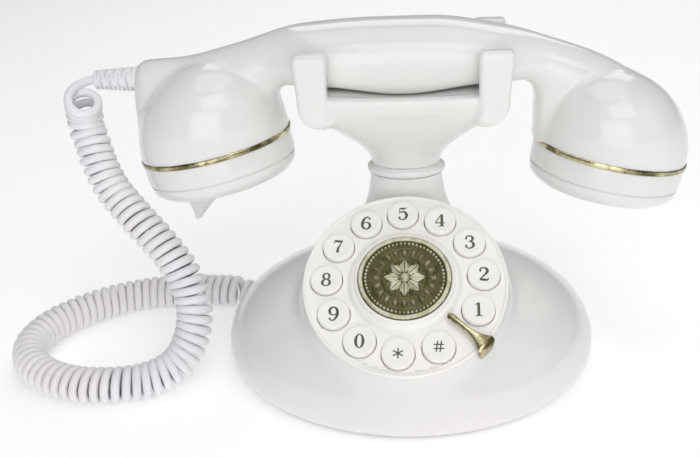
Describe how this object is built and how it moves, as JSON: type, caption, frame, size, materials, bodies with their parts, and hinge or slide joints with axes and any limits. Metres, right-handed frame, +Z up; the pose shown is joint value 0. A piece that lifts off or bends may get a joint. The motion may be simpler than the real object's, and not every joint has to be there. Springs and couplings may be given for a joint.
{
  "type": "cradle telephone",
  "caption": "Cradle telephone with an oval domed base, a tilted dial of push keys, a pronged cradle and a cupped handset on a curly cord.",
  "frame": {"origin": "middle of the base on the table, at the bottom of the feet", "axes": "+X right along the handset, -Y to the front, where the dial faces, +Z up"},
  "size_m": [0.301, 0.134, 0.1478],
  "materials": {
    "housing": "gloss",
    "dial": "satin",
    "trim": "polished",
    "medallion": "antique satin",
    "steel": "plated",
    "board": "solder mask",
    "dark_plastic": "matt",
    "ringer_brass": "plain",
    "silicone": "matt",
    "rubber": "matt",
    "plunger": "satin",
    "cord": "satin"
  },
  "bodies": {
    "base": {"base_housing": "housing", "base_plate": "housing", "rubber_feet": "rubber", "base_screws": "steel", "ballast_weight": "steel", "dial_plate": "dial", "medallion": "medallion", "finger_stop": "trim", "keypad_membrane": "silicone", "keypad_board": "board", "keypad_screws": "steel", "neck_collar": "housing", "cradle": "housing", "hook_spring": "steel", "hook_switch": "dark_plastic", "main_board": "board", "board_screws": "steel", "ringer_disc": "ringer_brass", "line_jack": "dark_plastic", "handset_jack": "dark_plastic", "modular_plug": "plunger", "ringer_switch": "steel", "curly_cord": "cord"},
    "key_1": {"key_1": "dial"},
    "key_2": {"key_2": "dial"},
    "key_3": {"key_3": "dial"},
    "key_4": {"key_4": "dial"},
    "key_5": {"key_5": "dial"},
    "key_6": {"key_6": "dial"},
    "key_7": {"key_7": "dial"},
    "key_8": {"key_8": "dial"},
    "key_9": {"key_9": "dial"},
    "key_0": {"key_0": "dial"},
    "key_star": {"key_star": "dial"},
    "key_hash": {"key_hash": "dial"},
    "hook_plunger": {"hook_plunger": "plunger"},
    "hook_lever": {"hook_lever": "steel"},
    "ringer_slider": {"ringer_slider": "dark_plastic"},
    "handset": {"handset_shell": "housing", "handset_cover": "housing", "handset_weight": "steel", "handset_screws": "steel", "mouth_ring": "trim", "ear_ring": "trim", "mouth_cap": "housing", "ear_cap": "housing", "mouthpiece_horn": "housing", "ear_capsule": "dark_plastic", "microphone_capsule": "steel", "strain_relief": "cord"}
  },
  "joints": [
    {"name": "handset_lift", "type": "slide", "parent": "base", "child": "handset", "axis": [0, 0, 1], "range_m": [0, 0.08]},
    {"name": "hook_rise", "type": "slide", "parent": "base", "child": "hook_plunger", "axis": [0, 0, 1], "range_m": [0, 0.004]},
    {"name": "hook_lever_turn", "type": "hinge", "parent": "base", "child": "hook_lever", "pos_m": [0.014, 0.022, 0.0224], "axis": [0, 1, 0], "range_deg": [0, 14.2]},
    {"name": "ringer_slide", "type": "slide", "parent": "base", "child": "ringer_slider", "axis": [1, 0, 0], "range_m": [0, 0.004]},
    {"name": "key_1_press", "type": "slide", "parent": "base", "child": "key_1", "axis": [0, 0.515, -0.8572], "range_m": [0, 0.0015], "stiffness_N_per_m": 300, "springref_m": -0.001},
    {"name": "key_2_press", "type": "slide", "parent": "base", "child": "key_2", "axis": [0, 0.515, -0.8572], "range_m": [0, 0.0015], "stiffness_N_per_m": 300, "springref_m": -0.001},
    {"name": "key_3_press", "type": "slide", "parent": "base", "child": "key_3", "axis": [0, 0.515, -0.8572], "range_m": [0, 0.0015], "stiffness_N_per_m": 300, "springref_m": -0.001},
    {"name": "key_4_press", "type": "slide", "parent": "base", "child": "key_4", "axis": [0, 0.515, -0.8572], "range_m": [0, 0.0015], "stiffness_N_per_m": 300, "springref_m": -0.001},
    {"name": "key_5_press", "type": "slide", "parent": "base", "child": "key_5", "axis": [0, 0.515, -0.8572], "range_m": [0, 0.0015], "stiffness_N_per_m": 300, "springref_m": -0.001},
    {"name": "key_6_press", "type": "slide", "parent": "base", "child": "key_6", "axis": [0, 0.515, -0.8572], "range_m": [0, 0.0015], "stiffness_N_per_m": 300, "springref_m": -0.001},
    {"name": "key_7_press", "type": "slide", "parent": "base", "child": "key_7", "axis": [0, 0.515, -0.8572], "range_m": [0, 0.0015], "stiffness_N_per_m": 300, "springref_m": -0.001},
    {"name": "key_8_press", "type": "slide", "parent": "base", "child": "key_8", "axis": [0, 0.515, -0.8572], "range_m": [0, 0.0015], "stiffness_N_per_m": 300, "springref_m": -0.001},
    {"name": "key_9_press", "type": "slide", "parent": "base", "child": "key_9", "axis": [0, 0.515, -0.8572], "range_m": [0, 0.0015], "stiffness_N_per_m": 300, "springref_m": -0.001},
    {"name": "key_0_press", "type": "slide", "parent": "base", "child": "key_0", "axis": [0, 0.515, -0.8572], "range_m": [0, 0.0015], "stiffness_N_per_m": 300, "springref_m": -0.001},
    {"name": "key_star_press", "type": "slide", "parent": "base", "child": "key_star", "axis": [0, 0.515, -0.8572], "range_m": [0, 0.0015], "stiffness_N_per_m": 300, "springref_m": -0.001},
    {"name": "key_hash_press", "type": "slide", "parent": "base", "child": "key_hash", "axis": [0, 0.515, -0.8572], "range_m": [0, 0.0015], "stiffness_N_per_m": 300, "springref_m": -0.001}
  ],
  "couplings": [
    {"joint": "hook_rise", "follows": "handset_lift", "ratio": 0.05},
    {"joint": "hook_lever_turn", "follows": "handset_lift", "rad_per_m": 3.05}
  ]
}
